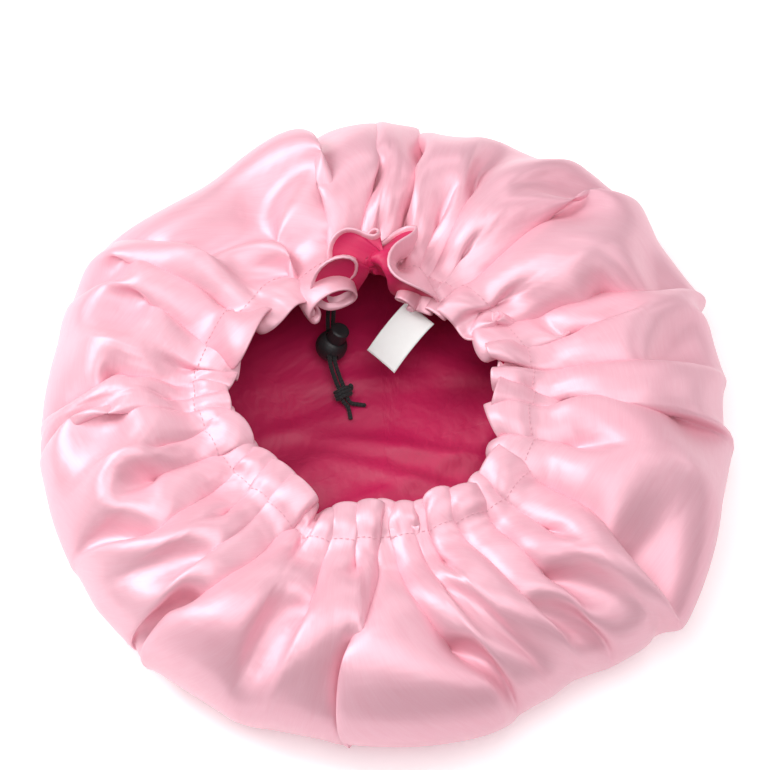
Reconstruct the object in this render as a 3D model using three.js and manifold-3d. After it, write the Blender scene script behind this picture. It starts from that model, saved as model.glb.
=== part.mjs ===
// A reversible satin sleep bonnet, lying on its crown with the gathered mouth up.
// Millimetres, +Z up. The origin is on the surface that it lies on, under the middle of its footprint.
// -Y is the near side. The cord lock and the label hang inside the far side, at +Y.
import * as THREE from 'three';
import { mergeVertices } from 'three/addons/utils/BufferGeometryUtils.js';
import Module from 'manifold-3d';

const wasm = await Module();
wasm.setup();

// ---- Driving dimensions -------------------------------------------------------------------------

const CLOTH = 1.1; // wall of each layer of satin
const LAYER_GAP = 0.5; // air between the satin and its lining
const CASING = 22; // width of the drawstring casing, from its gathering stitches to the mouth's edge
const CHANNEL = 9.5; // from the stitches to the middle of the drawstring's tunnel
const CHANNEL_ROOM = 1.1; // air round the drawstring in its tunnel
const STITCH_HEIGHT = 66; // height of the stitches over the surface
const MOUTH = { x: -13, y: -6 }; // middle of the mouth
const FIT = 0.35; // gap between pieces that touch
const LINES_PER_CREASE = 3; // lines of cloth from one crease to the next
const CREASE_FADE = 2.4; // how quickly a crease fades across the cloth, over the way to the next one
const HEM_DIP = 0.3; // share of a crease's depth that shows at the mouth's edge
const PUFF = { full: 3, least: 0.8, lost: 0.3 }; // the casing's swelling, and how much of it a crease takes
const STEEPEST = 1.7; // most that a wall thickens where a crease makes it steep

const CORD = 2.4; // diameter of the drawstring
const CORD_SIDES = 8;
const DRAWSTRING_STEPS = 60;
const STRAND_STEPS = 50;
const STRAND_APART = 3; // between the middles of the two free strands where they run side by side

const LOCK_AT = new THREE.Vector3(-30, 64, 21.5); // middle of the ball
const LOCK_BORE = new THREE.Vector3(0.35, 0.15, 0.925).normalize(); // the way the button points
const LOCK_CORDS = new THREE.Vector3(0.05, -0.99, 0.142).normalize(); // the way the strands run through it
const BALL = 9; // radius
const BUTTON = 5.4; // radius
const BUTTON_TOP = 15.4; // from the ball's middle
const BUTTON_FOOT = -3; // from the ball's middle
const BUTTON_TRAVEL = 3;
const BUTTON_RIM = 2; // how far in from its edge the button's top is rounded
const LOCK_SIDES = 28;
const BALL_ROWS = 18;

const KNOT_AT = new THREE.Vector3(-23.4, 37.6, 13.7);
const KNOT_AXIS = new THREE.Vector3(0.33, -0.83, -0.45).normalize();
const KNOT_TURNS = 3;
const KNOT_SIDES = 14;
const TURN_APART = 0.9 * CORD; // between the middles of two turns
const TURN_CORNER = { out: 0.75 * CORD, along: 0.42 * TURN_APART }; // where a turn's faces meet
const KNOT_END = 0.3; // beyond the last turn

const LABEL = { width: 21, thickness: 1 };
const LABEL_ACROSS = new THREE.Vector3(15.4, -14.9, -0.6).normalize();

const PINK = 0xf0b3c4;
const MAROON = 0x9b1c46;
const BLACK = 0x1c1c1e;
const WHITE = 0xf1ecea;

// How far the bonnet spreads each way from the origin, and how high the cloth stands there between the mouth
// and the outline.
const OUTLINE = [
  { deg: 0, radius: 191.8, crest: 79 },
  { deg: 30, radius: 197, crest: 81 },
  { deg: 52, radius: 203, crest: 82 },
  { deg: 72, radius: 195, crest: 80 },
  { deg: 94, radius: 197.6, crest: 82 },
  { deg: 122, radius: 185, crest: 77 },
  { deg: 144, radius: 196, crest: 80 },
  { deg: 172, radius: 191, crest: 76 },
  { deg: 196, radius: 194, crest: 77 },
  { deg: 222, radius: 194, crest: 79 },
  { deg: 242, radius: 198, crest: 80 },
  { deg: 262, radius: 195, crest: 79 },
  { deg: 281, radius: 199, crest: 81 },
  { deg: 303, radius: 188, crest: 78 },
  { deg: 326, radius: 202, crest: 80 },
  { deg: 345, radius: 195, crest: 80 },
];

// The line of gathering stitches round the middle of the mouth. tilt is how far the casing inside it
// stands up from level, in degrees: it droops nearly all round, and is turned up at the far side.
const STITCHES = [
  { deg: 0, radius: 94, tilt: -10 },
  { deg: 22, radius: 100, tilt: -6 },
  { deg: 45, radius: 98, tilt: -10 },
  { deg: 64, radius: 94, tilt: -4 },
  { deg: 73, radius: 95, tilt: 30 },
  { deg: 82, radius: 96, tilt: 72 },
  { deg: 90, radius: 95, tilt: 62 },
  { deg: 97, radius: 93, tilt: 6 },
  { deg: 104, radius: 92, tilt: -14 },
  { deg: 126, radius: 96, tilt: -8 },
  { deg: 150, radius: 96, tilt: -10 },
  { deg: 175, radius: 93, tilt: -4 },
  { deg: 200, radius: 83, tilt: -8 },
  { deg: 226, radius: 78, tilt: -12 },
  { deg: 255, radius: 85, tilt: -8 },
  { deg: 276, radius: 80, tilt: -12 },
  { deg: 300, radius: 86, tilt: -2 },
  { deg: 320, radius: 97, tilt: -8 },
  { deg: 340, radius: 99, tilt: -12 },
];

// The creases that fan out from the mouth, between soft puffs. mouth and outline are the angles where each
// one starts and ends; reach is how far out it runs (0 the stitches, 1 the outline, then on round under the
// brow); nick is how far it draws the mouth's edge back.
const CREASES = [
  { mouth: 5, outline: 0, depth: 4, reach: 0.35, nick: 1 },
  { mouth: 13, outline: 7, depth: 6, reach: 0.55, nick: 3 },
  { mouth: 22, outline: 14, depth: 5, reach: 0.4, nick: 2 },
  { mouth: 30, outline: 21, depth: 7, reach: 0.62, nick: 3 },
  { mouth: 38, outline: 27, depth: 13, reach: 1.25, nick: 5 },
  { mouth: 56, outline: 46, depth: 11, reach: 0.7, nick: 4 },
  { mouth: 67, outline: 62, depth: 8, reach: 0.87, nick: 2 },
  { mouth: 76, outline: 73, depth: 7, reach: 0.62, nick: 4 },
  { mouth: 84, outline: 84, depth: 11, reach: 0.87, nick: 3 },
  { mouth: 92, outline: 93, depth: 9, reach: 0.8, nick: 3 },
  { mouth: 99, outline: 106, depth: 7, reach: 0.75, nick: 2 },
  { mouth: 112, outline: 122, depth: 4, reach: 0.6, nick: 2 },
  { mouth: 126, outline: 137, depth: 6, reach: 0.8, nick: 1 },
  { mouth: 139, outline: 147, depth: 5, reach: 0.62, nick: 2 },
  { mouth: 153, outline: 156, depth: 10, reach: 0.62, nick: 5 },
  { mouth: 163, outline: 163, depth: 4, reach: 0.5, nick: 2 },
  { mouth: 172, outline: 172, depth: 10, reach: 1.25, nick: 4 },
  { mouth: 180, outline: 181, depth: 4, reach: 0.25, nick: 3 },
  { mouth: 188, outline: 190, depth: 8, reach: 0.4, nick: 5 },
  { mouth: 197, outline: 203, depth: 8, reach: 0.62, nick: 4 },
  { mouth: 207, outline: 209, depth: 12, reach: 1.2, nick: 4 },
  { mouth: 218, outline: 218, depth: 5, reach: 0.35, nick: 2 },
  { mouth: 241, outline: 232, depth: 13, reach: 0.94, nick: 4 },
  { mouth: 253, outline: 250, depth: 8, reach: 0.7, nick: 4 },
  { mouth: 265, outline: 261, depth: 6, reach: 0.5, nick: 2 },
  { mouth: 277, outline: 268, depth: 12, reach: 0.7, nick: 3 },
  { mouth: 286, outline: 283, depth: 12, reach: 0.8, nick: 3 },
  { mouth: 294, outline: 291, depth: 8, reach: 0.62, nick: 5 },
  { mouth: 303, outline: 298, depth: 8, reach: 0.5, nick: 5 },
  { mouth: 312, outline: 306, depth: 7, reach: 0.62, nick: 4 },
  { mouth: 322, outline: 314, depth: 6, reach: 0.75, nick: 5 },
  { mouth: 341, outline: 327, depth: 12, reach: 1.2, nick: 4 },
  { mouth: 351, outline: 344, depth: 6, reach: 0.7, nick: 3 },
];

// The satin's section from the stitches out over the top, down and under to the crown that it lies on.
// reach is from the stitches to the outline, and under from the origin to the outline; along is how far on
// that is for a crease; height is a share of the crest's; lean is the way the cloth faces, in degrees: 0 up,
// 90 out, 180 down; dip is the share of a crease's depth that shows.
const SECTION = [
  { along: 0, reach: 0, height: 0, lean: 0, dip: 0.55 },
  { along: 0.11, reach: 0.11, height: 0.9, lean: -16, dip: 0.9 },
  { along: 0.27, reach: 0.27, height: 0.98, lean: -7, dip: 1 },
  { along: 0.46, reach: 0.46, height: 1, lean: 7, dip: 1 },
  { along: 0.7, reach: 0.7, height: 0.88, lean: 34, dip: 0.85 },
  { along: 0.89, reach: 0.89, height: 0.66, lean: 62, dip: 0.6 },
  { along: 1, reach: 1, height: 0.43, lean: 90, dip: 0.45 },
  { along: 1.1, under: 0.965, height: 0.17, lean: 125, dip: 0.3 },
  { along: 1.2, under: 0.88, height: 0.03, lean: 160, dip: 0 },
  { along: 1.4, under: 0.74, height: 0, lean: 180, dip: 0 },
];
const LINED_ROWS = 7; // rows, from the stitches to the outline, where the lining lies on the satin

// The lining over the crown lies loose: rings as shares of the outline, its height, and its soft waves.
const FLOOR_RINGS = [0.84, 0.55, 0.27];
const FLOOR_HEIGHT = 3.6;
const WAVES = [
  { x: 34, y: 30, heading: -6, length: 90, width: 20, height: 2.4 },
  { x: -30, y: -8, heading: 14, length: 80, width: 16, height: 2 },
  { x: 26, y: -44, heading: -20, length: 70, width: 18, height: 2.4 },
  { x: -32, y: 72, heading: 0, length: 60, width: 24, height: 5.4 },
];

// The label's middle line, from the end that is caught in the hem to the free end.
const LABEL_LINE = [
  [20, 63.5, 57.5],
  [15.5, 59, 56],
  [9.5, 53, 52.5],
  [3.5, 47, 47.5],
  [-2, 41.5, 41.5],
];

// The free strands' middle line: down from the buttonhole behind the lock, in at its back, and out to
// the knot.
const STRANDS_DOWN = [
  [-29.6, 73.4, 61],
  [-29.6, 76.5, 54],
  [-29.6, 80.5, 44],
  [-30, 82.2, 34],
  [-30.5, 80.6, 25.5],
];
const STRANDS_OUT = [
  [-29, 51, 22.4],
  [-26.6, 45, 17.8],
];
const TURN_DOWN = { share: 1 / 2.2, drop: 0.7 }; // where a strand bends down, over half the buttonhole
const IN_LOCK = [-11.5, -6, 6, 10.5]; // places along the strands, from the ball's middle
const IN_KNOT = [-4.5, 4.5]; // places along the strands, from the knot's middle
const STRAND_CLEAR = 1.6 * FIT; // from the drawstring's end to the strand's start

// The tails beyond the knot, lying on the lining.
const TAILS = {
  left: [[-20.9, 31.2, 10], [-19.8, 27.6, 8.9], [-19.2, 24, 8.4]],
  right: [[-18.6, 33.2, 10.3], [-15.2, 33, 9.4], [-11, 32.6, 9]],
};

// The slit in the lining where both strands leave the casing. radius is from the middle of the mouth.
const BUTTONHOLE = { deg: 101.5, half: 7.4, height: 7, depth: 14, radius: 81 };

// ---- Small helpers ------------------------------------------------------------------------------

const UP = new THREE.Vector3(0, 0, 1);
const radians = THREE.MathUtils.degToRad;
const degrees = THREE.MathUtils.radToDeg;
const vector = ([x, y, z]) => new THREE.Vector3(x, y, z);
const spoke = (deg) => new THREE.Vector3(Math.cos(radians(deg)), Math.sin(radians(deg)), 0);

// A table's column at any angle, on a smooth curve through its rows that closes round the circle.
function around(table, column, deg) {
  const at = ((deg % 360) + 360) % 360;
  const after = table.findIndex((row) => row.deg > at);
  const before = (after < 0 ? table.length : after) - 1;
  const value = (k) => table[(before + k + table.length) % table.length][column];
  const turn = (k) =>
    table[(before + k + table.length) % table.length].deg + 360 * Math.floor((before + k) / table.length);
  const slope = (k) => (value(k + 1) - value(k - 1)) / (turn(k + 1) - turn(k - 1));
  const width = turn(1) - turn(0);
  const t = (at - turn(0)) / width;
  return (
    (1 + 2 * t) * (1 - t) ** 2 * value(0) +
    t * (1 - t) ** 2 * width * slope(0) +
    t ** 2 * (3 - 2 * t) * value(1) -
    t ** 2 * (1 - t) * width * slope(1)
  );
}

function mesh(name, geometry, color, roughness) {
  const made = new THREE.Mesh(geometry, new THREE.MeshStandardMaterial({ color, roughness, metalness: 0 }));
  made.name = name;
  return made;
}

function toSolid(geometry) {
  const plain = geometry.clone();
  plain.deleteAttribute('normal');
  plain.deleteAttribute('uv');
  const merged = mergeVertices(plain, 1e-4);
  const vertProperties = merged.attributes.position.array;
  return new wasm.Manifold(new wasm.Mesh({ numProp: 3, vertProperties, triVerts: merged.index.array }));
}

function fromSolid(solid) {
  const { vertProperties, triVerts } = solid.getMesh();
  const geometry = new THREE.BufferGeometry();
  geometry.setAttribute('position', new THREE.BufferAttribute(vertProperties, 3));
  geometry.setIndex(new THREE.BufferAttribute(triVerts, 1));
  return geometry;
}

// A round tube along a route, with flat ends.
function tube(points, steps) {
  const section = new THREE.Shape(
    Array.from({ length: CORD_SIDES }, (_, k) => {
      const turn = (2 * Math.PI * k) / CORD_SIDES;
      return new THREE.Vector2(Math.cos(turn), Math.sin(turn)).multiplyScalar(CORD / 2);
    }),
  );
  const extrudePath = new THREE.CatmullRomCurve3(points, false, 'centripetal');
  return new THREE.ExtrudeGeometry(section, { steps, extrudePath, bevelEnabled: false });
}

// ---- The cloth ----------------------------------------------------------------------------------

// A point of the casing, a distance in from the stitches. It faces up where the casing lies level.
function casingPoint(deg, distance) {
  const tilt = radians(around(STITCHES, 'tilt', deg));
  const out = spoke(deg);
  const radius = around(STITCHES, 'radius', deg) - distance * Math.cos(tilt);
  return {
    at: new THREE.Vector3(MOUTH.x, MOUTH.y, STITCH_HEIGHT)
      .addScaledVector(UP, distance * Math.sin(tilt))
      .addScaledVector(out, radius),
    facing: UP.clone().multiplyScalar(Math.cos(tilt)).addScaledVector(out, Math.sin(tilt)),
  };
}

// How deep the two nearest creases draw the cloth in, at a place on a line of cloth.
function creaseDip(sides, along) {
  return sides.reduce((sum, { crease, share }) => {
    const across = Math.max(0, 1 - CREASE_FADE * share) ** 2;
    const fade = 1 - THREE.MathUtils.smoothstep(along, 0.4 * crease.reach, crease.reach);
    return sum + crease.depth * across * fade;
  }, 0);
}

// One line of the cloth from the mouth's edge to the crown, a share of the way from one crease to the next:
// its places on the satin's outer face, the way it faces at each, and how far a crease draws it in.
function clothLine(index, share) {
  const crease = CREASES[index];
  const next = CREASES[(index + 1) % CREASES.length];
  const turned = (from, to) => from + ((to - from + 360) % 360) * share;
  const mouth = turned(crease.mouth, next.mouth);
  const outline = turned(crease.outline, next.outline);
  const sides = [{ crease, share }, { crease: next, share: 1 - share }];
  const nick = sides.reduce(
    (sum, side) => sum + side.crease.nick * Math.max(0, 1 - CREASE_FADE * side.share),
    0,
  );
  const drawn = creaseDip(sides, 0);
  const puff = Math.max(PUFF.least, PUFF.full - PUFF.lost * drawn);
  const hem = { ...casingPoint(mouth, CASING - nick), dip: HEM_DIP * drawn };
  const channel = { ...casingPoint(mouth, CHANNEL), dip: 0, puff };

  const stitches = casingPoint(mouth, 0).at;
  const rim = spoke(outline).multiplyScalar(around(OUTLINE, 'radius', outline));
  const crest = around(OUTLINE, 'crest', outline);
  const leanAxis = new THREE.Vector3().crossVectors(UP, spoke(outline));
  const section = SECTION.map((row) => {
    const at = row.under ? rim.clone().multiplyScalar(row.under) : stitches.clone().lerp(rim, row.reach);
    at.z = row.along === 0 ? STITCH_HEIGHT : crest * row.height;
    const facing = UP.clone().applyAxisAngle(leanAxis, radians(row.lean));
    return { at, facing, dip: row.dip * creaseDip(sides, row.along) };
  });
  return { rim, stations: [hem, channel, ...section] };
}

const LINES = CREASES.flatMap((_, index) =>
  Array.from({ length: LINES_PER_CREASE }, (_unused, k) => clothLine(index, k / LINES_PER_CREASE)),
);

// How much thicker the wall is along the way it faces where a crease makes it steep.
function steepness(i, row) {
  const here = LINES[i].stations[row];
  const slopes = [-1, 1].map((step) => {
    const there = LINES[(i + step + LINES.length) % LINES.length].stations[row];
    return Math.abs(here.dip - there.dip) / here.at.distanceTo(there.at);
  });
  return Math.min(STEEPEST, Math.hypot(1, (slopes[0] + slopes[1]) / 2));
}

// The four faces of the double cloth along one line, from the outside in.
function layers(i) {
  const faces = { satinOut: [], satinIn: [], liningOut: [], liningIn: [] };
  LINES[i].stations.forEach(({ at, facing, dip, puff }, row) => {
    const steep = steepness(i, row);
    const inChannel = puff !== undefined;
    const outside = inChannel ? CORD / 2 + CHANNEL_ROOM + puff + CLOTH : -dip;
    const gap = inChannel ? CORD + 2 * CHANNEL_ROOM + puff : LAYER_GAP * steep;
    const wall = inChannel ? CLOTH : CLOTH * steep;
    const face = (offset) => at.clone().addScaledVector(facing, offset);
    faces.satinOut.push(face(outside));
    faces.satinIn.push(face(outside - wall));
    if (row < LINED_ROWS + 2) {
      faces.liningOut.push(face(outside - wall - gap));
      faces.liningIn.push(face(outside - 2 * wall - gap));
    }
  });
  return faces;
}

// The height of the loose lining's underside over the crown.
function floorHeight(x, y) {
  return WAVES.reduce((sum, wave) => {
    const turn = radians(wave.heading);
    const dx = x - wave.x;
    const dy = y - wave.y;
    const lengthwise = (dx * Math.cos(turn) + dy * Math.sin(turn)) / wave.length;
    const across = (dy * Math.cos(turn) - dx * Math.sin(turn)) / wave.width;
    return sum + wave.height * Math.exp(-(lengthwise ** 2) - across ** 2);
  }, FLOOR_HEIGHT);
}

function floorRing(share, thickness) {
  return LINES.map(({ rim }) => {
    const at = rim.clone().multiplyScalar(share);
    at.z = floorHeight(at.x, at.y) + thickness;
    return at;
  });
}

// A closed wall of cloth: an outer and an inner face, each given as rings from the hem to the middle of the
// crown, joined round the hem.
function clothWall(outer, outerMiddle, inner, innerMiddle) {
  const count = LINES.length;
  const points = [...outer.flat(), outerMiddle, ...inner.flat(), innerMiddle];
  const innerStart = outer.length * count + 1;
  const triangles = [];
  const addFace = (rings, start, flip) => {
    const last = rings.length - 1;
    const middle = start + rings.length * count;
    const corner = (ring, i) => start + ring * count + (i % count);
    const add = (a, b, c) => triangles.push(...(flip ? [a, c, b] : [a, b, c]));
    for (let i = 0; i < count; i += 1) {
      for (let ring = 0; ring < last; ring += 1) {
        add(corner(ring, i), corner(ring + 1, i), corner(ring + 1, i + 1));
        add(corner(ring, i), corner(ring + 1, i + 1), corner(ring, i + 1));
      }
      add(corner(last, i), middle, corner(last, i + 1));
    }
  };
  addFace(outer, 0, false);
  addFace(inner, innerStart, true);
  for (let i = 0; i < count; i += 1) {
    const j = (i + 1) % count;
    triangles.push(i, j, innerStart + j, i, innerStart + j, innerStart + i);
  }
  const geometry = new THREE.BufferGeometry().setFromPoints(points);
  geometry.setIndex(triangles);
  return geometry;
}

const FACES = LINES.map((_, i) => layers(i));
const rings = (face) => FACES[0][face].map((_, row) => FACES.map((faces) => faces[face][row]));

// The crown lies flat: its inner face is level, one wall over the surface.
function outerSatin() {
  const inner = rings('satinIn');
  inner.at(-1).forEach((at) => at.setZ(CLOTH));
  return clothWall(rings('satinOut'), new THREE.Vector3(), inner, new THREE.Vector3(0, 0, CLOTH));
}

function lining() {
  const under = [...rings('liningOut'), ...FLOOR_RINGS.map((share) => floorRing(share, 0))];
  const over = [...rings('liningIn'), ...FLOOR_RINGS.map((share) => floorRing(share, CLOTH))];
  const middle = floorHeight(0, 0);
  const top = new THREE.Vector3(0, 0, middle + CLOTH);
  const whole = clothWall(under, new THREE.Vector3(0, 0, middle), over, top);
  return fromSolid(toSolid(whole).subtract(toSolid(buttonholeCutter())));
}

// The buttonhole lets the drawstring out of the casing through the lining.
function buttonholeCutter() {
  const { at } = casingPoint(BUTTONHOLE.deg, CHANNEL);
  const cutter = new THREE.BoxGeometry(2 * BUTTONHOLE.half, BUTTONHOLE.height, BUTTONHOLE.depth);
  return cutter.rotateZ(radians(BUTTONHOLE.deg - 90)).translate(at.x, at.y, at.z - BUTTONHOLE.depth / 2);
}

// ---- Drawstring ---------------------------------------------------------------------------------

const halfHole = degrees(BUTTONHOLE.half / BUTTONHOLE.radius); // the buttonhole's half width, as an angle

// The drawstring runs all round inside the casing, and stops where its two strands turn down.
function drawstring() {
  const first = BUTTONHOLE.deg + halfHole - 360;
  const last = BUTTONHOLE.deg - halfHole;
  const points = Array.from({ length: DRAWSTRING_STEPS + 1 }, (_, k) =>
    casingPoint(THREE.MathUtils.lerp(first, last, k / DRAWSTRING_STEPS), CHANNEL).at);
  return tube(points, DRAWSTRING_STEPS);
}

// A free strand: out of the casing, down through the buttonhole, through the lock and the knot, to its tail.
function strand(side, tail) {
  const start = BUTTONHOLE.deg - side * halfHole;
  const clear = side * degrees(STRAND_CLEAR / BUTTONHOLE.radius);
  const across = new THREE.Vector3().crossVectors(LOCK_BORE, LOCK_CORDS);
  const knotAcross = new THREE.Vector3().crossVectors(UP, KNOT_AXIS).normalize();
  const half = (side * STRAND_APART) / 2;
  const beside = (at, way) => at.clone().addScaledVector(way, half);
  const inLock = (distance) => beside(LOCK_AT.clone().addScaledVector(LOCK_CORDS, distance), across);
  const inKnot = (distance) => beside(KNOT_AT.clone().addScaledVector(KNOT_AXIS, distance), knotAcross);
  const turnDown = casingPoint(BUTTONHOLE.deg - side * halfHole * TURN_DOWN.share, CHANNEL).at;
  turnDown.z -= TURN_DOWN.drop;
  const spread = (k) => across.clone().lerp(knotAcross, (k + 1) / (STRANDS_OUT.length + 1)).normalize();
  const points = [
    casingPoint(start + clear, CHANNEL).at,
    turnDown,
    ...STRANDS_DOWN.map((at) => beside(vector(at), new THREE.Vector3(1, 0, 0))),
    ...IN_LOCK.map(inLock),
    ...STRANDS_OUT.map((at, k) => beside(vector(at), spread(k))),
    ...IN_KNOT.map(inKnot),
    ...tail.map(vector),
  ];
  return tube(points, STRAND_STEPS);
}

// The knot's turns lie round both strands.
function knot() {
  const inner = STRAND_APART / 2 + CORD / 2 + 1.5 * FIT;
  const middles = Array.from({ length: KNOT_TURNS }, (_, k) => (k - (KNOT_TURNS - 1) / 2) * TURN_APART);
  const outside = middles.flatMap((middle) => [
    [inner + TURN_CORNER.out, middle - TURN_CORNER.along],
    [inner + CORD, middle],
    [inner + TURN_CORNER.out, middle + TURN_CORNER.along],
  ]);
  const end = (KNOT_TURNS * TURN_APART) / 2 + KNOT_END;
  const profile = [
    [inner, -end],
    [inner + CORD / 2, -end],
    ...outside,
    [inner + CORD / 2, end],
    [inner, end],
    [inner, -end],
  ];
  const ring = new THREE.LatheGeometry(profile.map(([x, y]) => new THREE.Vector2(x, y)), KNOT_SIDES);
  ring.applyQuaternion(new THREE.Quaternion().setFromUnitVectors(new THREE.Vector3(0, 1, 0), KNOT_AXIS));
  return ring.translate(...KNOT_AT);
}

// ---- Cord lock ----------------------------------------------------------------------------------

// Turns a shape made round +Y, with the strands along +Z, to the way the lock lies.
function placeInLock(geometry) {
  const across = new THREE.Vector3().crossVectors(LOCK_BORE, LOCK_CORDS);
  const turn = new THREE.Matrix4().makeBasis(across, LOCK_BORE, LOCK_CORDS);
  return geometry.applyMatrix4(turn).translate(...LOCK_AT);
}

const strandSlot = { width: STRAND_APART + CORD + 3 * FIT, height: CORD + 3 * FIT, length: 3 * BALL };

function lockBarrel() {
  const length = 2 * BALL + 2;
  const bore = new THREE.CylinderGeometry(BUTTON + FIT, BUTTON + FIT, length, LOCK_SIDES);
  bore.translate(0, BUTTON_FOOT - BUTTON_TRAVEL - FIT + length / 2, 0);
  const slot = new THREE.BoxGeometry(strandSlot.width, strandSlot.height, strandSlot.length);
  const ball = toSolid(new THREE.SphereGeometry(BALL, LOCK_SIDES, BALL_ROWS));
  return placeInLock(fromSolid(ball.subtract(toSolid(bore)).subtract(toSolid(slot))));
}

// The button's slot is taller than the strands by its travel, so that it slides past them.
function lockButton() {
  const profile = [
    [0, BUTTON_FOOT],
    [BUTTON, BUTTON_FOOT],
    [BUTTON, BUTTON_TOP - 0.5 * BUTTON_RIM],
    [BUTTON - 0.4 * BUTTON_RIM, BUTTON_TOP - 0.1 * BUTTON_RIM],
    [BUTTON - BUTTON_RIM, BUTTON_TOP],
    [0, BUTTON_TOP],
  ];
  const points = profile.map(([x, y]) => new THREE.Vector2(x, y));
  const plunger = toSolid(new THREE.LatheGeometry(points, LOCK_SIDES));
  const slot = new THREE.BoxGeometry(strandSlot.width, strandSlot.height + BUTTON_TRAVEL, strandSlot.length);
  slot.translate(0, BUTTON_TRAVEL / 2, 0);
  return placeInLock(fromSolid(plunger.subtract(toSolid(slot))));
}

// ---- Label --------------------------------------------------------------------------------------

function label() {
  const middles = LABEL_LINE.map(vector);
  const corners = [[-1, 1], [1, 1], [1, -1], [-1, -1]];
  const points = middles.flatMap((at, k) => {
    const next = middles[Math.min(k + 1, middles.length - 1)];
    const along = next.clone().sub(middles[Math.max(k - 1, 0)]).normalize();
    const facing = new THREE.Vector3().crossVectors(along, LABEL_ACROSS).normalize();
    return corners.map(([side, face]) =>
      at.clone()
        .addScaledVector(LABEL_ACROSS, (side * LABEL.width) / 2)
        .addScaledVector(facing, (face * LABEL.thickness) / 2));
  });
  const triangles = [0, 1, 2, 0, 2, 3];
  for (let row = 0; row < middles.length - 1; row += 1) {
    for (let k = 0; k < 4; k += 1) {
      const a = 4 * row + k;
      const b = 4 * row + ((k + 1) % 4);
      triangles.push(a, a + 4, b + 4, a, b + 4, b);
    }
  }
  const end = 4 * (middles.length - 1);
  triangles.push(end, end + 2, end + 1, end, end + 3, end + 2);
  const geometry = new THREE.BufferGeometry().setFromPoints(points);
  geometry.setIndex(triangles);
  return geometry;
}

// ---- Assembly -----------------------------------------------------------------------------------

const group = new THREE.Group();
group.add(
  mesh('outer_satin', outerSatin(), PINK, 0.35),
  mesh('lining', lining(), MAROON, 0.45),
  mesh('drawstring', drawstring(), BLACK, 0.8),
  mesh('cord_end_left', strand(-1, TAILS.left), BLACK, 0.8),
  mesh('cord_end_right', strand(1, TAILS.right), BLACK, 0.8),
  mesh('cord_knot', knot(), BLACK, 0.8),
  mesh('lock_barrel', lockBarrel(), BLACK, 0.5),
  mesh('lock_button', lockButton(), BLACK, 0.5),
  mesh('label', label(), WHITE, 0.7),
);

export default group;
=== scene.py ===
import math

import bpy
import numpy as np
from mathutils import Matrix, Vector


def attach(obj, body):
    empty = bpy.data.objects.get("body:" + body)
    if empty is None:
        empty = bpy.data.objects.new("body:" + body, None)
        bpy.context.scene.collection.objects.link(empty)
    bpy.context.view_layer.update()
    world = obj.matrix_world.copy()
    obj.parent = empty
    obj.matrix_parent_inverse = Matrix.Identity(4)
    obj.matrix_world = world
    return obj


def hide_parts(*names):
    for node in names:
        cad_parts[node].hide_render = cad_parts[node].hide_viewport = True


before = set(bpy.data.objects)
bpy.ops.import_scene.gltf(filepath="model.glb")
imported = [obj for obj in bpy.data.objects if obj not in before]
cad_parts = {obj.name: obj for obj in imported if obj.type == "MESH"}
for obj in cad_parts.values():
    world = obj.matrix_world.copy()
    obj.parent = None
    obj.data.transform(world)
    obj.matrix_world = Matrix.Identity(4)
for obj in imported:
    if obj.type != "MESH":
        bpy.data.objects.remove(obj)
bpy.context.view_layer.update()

# A satin sleep bonnet that lies on its crown, with its gathered mouth up. The tables are in millimetres and
# degrees, and the meshes in metres.
MM = 0.001

# ---- Sizes ------------------------------------------------------------------------------------------

CASING = 22.0  # width of the drawstring casing, from its gathering stitches to the mouth's edge
CHANNEL = 9.5  # from the stitches to the middle of the drawstring's tunnel
STITCH_HEIGHT = 66.0
MOUTH_X, MOUTH_Y = -13.0, -6.0
CASING_SHARE = 0.21  # how much of the way from the mouth's edge (0) to the outline (1) is casing
CHANNEL_T = CASING_SHARE * (1 - CHANNEL / CASING)  # where on that way the drawstring lies
NECK_T, BROW_T = 0.3, 0.85  # and where the creases' neck and brow angles are measured
COLUMNS_PER_CREASE = 20

CORD = 2.4
STRAND_APART = 3.0
END_BULGE = 0.45  # how far a cord's cut end stands out, of its radius
LOCK_AT = Vector((-30.0, 64.0, 21.5))
LOCK_BORE = Vector((0.35, 0.15, 0.925)).normalized()
LOCK_CORDS = Vector((0.05, -0.99, 0.142)).normalized()
KNOT_AT = Vector((-23.4, 37.6, 13.7))
KNOT_AXIS = Vector((0.33, -0.83, -0.45)).normalized()
BUTTONHOLE_ANGLE = 101.5
BUTTONHOLE_HALF = 7.4
BUTTONHOLE_RADIUS = 81.0


def table(names, rows):
    """Rows of numbers as one array for each named column."""
    return dict(zip(names.split(), np.array(rows, float).T))


# How far the bonnet spreads each way, and how high the cloth stands there between mouth and outline.
OUTLINE = table("deg radius crest", [
    (0, 191.8, 79), (30, 197, 81), (52, 203, 82), (72, 195, 80), (94, 197.6, 82), (122, 185, 77),
    (144, 196, 80), (172, 191, 76), (196, 194, 77), (222, 194, 79), (242, 198, 80), (262, 195, 79),
    (281, 199, 81), (303, 188, 78), (326, 202, 80), (345, 195, 80),
])

# The gathering stitches round the middle of the mouth, and how far the casing inside them stands up.
STITCHES = table("deg radius tilt", [
    (0, 94, -10), (22, 100, -6), (45, 98, -10), (64, 94, -4), (75, 94.5, 6), (81, 97, 88), (88, 97, 96),
    (95, 94, 6), (104, 92, -14), (126, 96, -8), (150, 96, -10), (175, 93, -4), (200, 83, -8),
    (226, 78, -12), (255, 85, -8), (276, 80, -12), (300, 86, -2), (320, 97, -8), (340, 99, -12),
])

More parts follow.
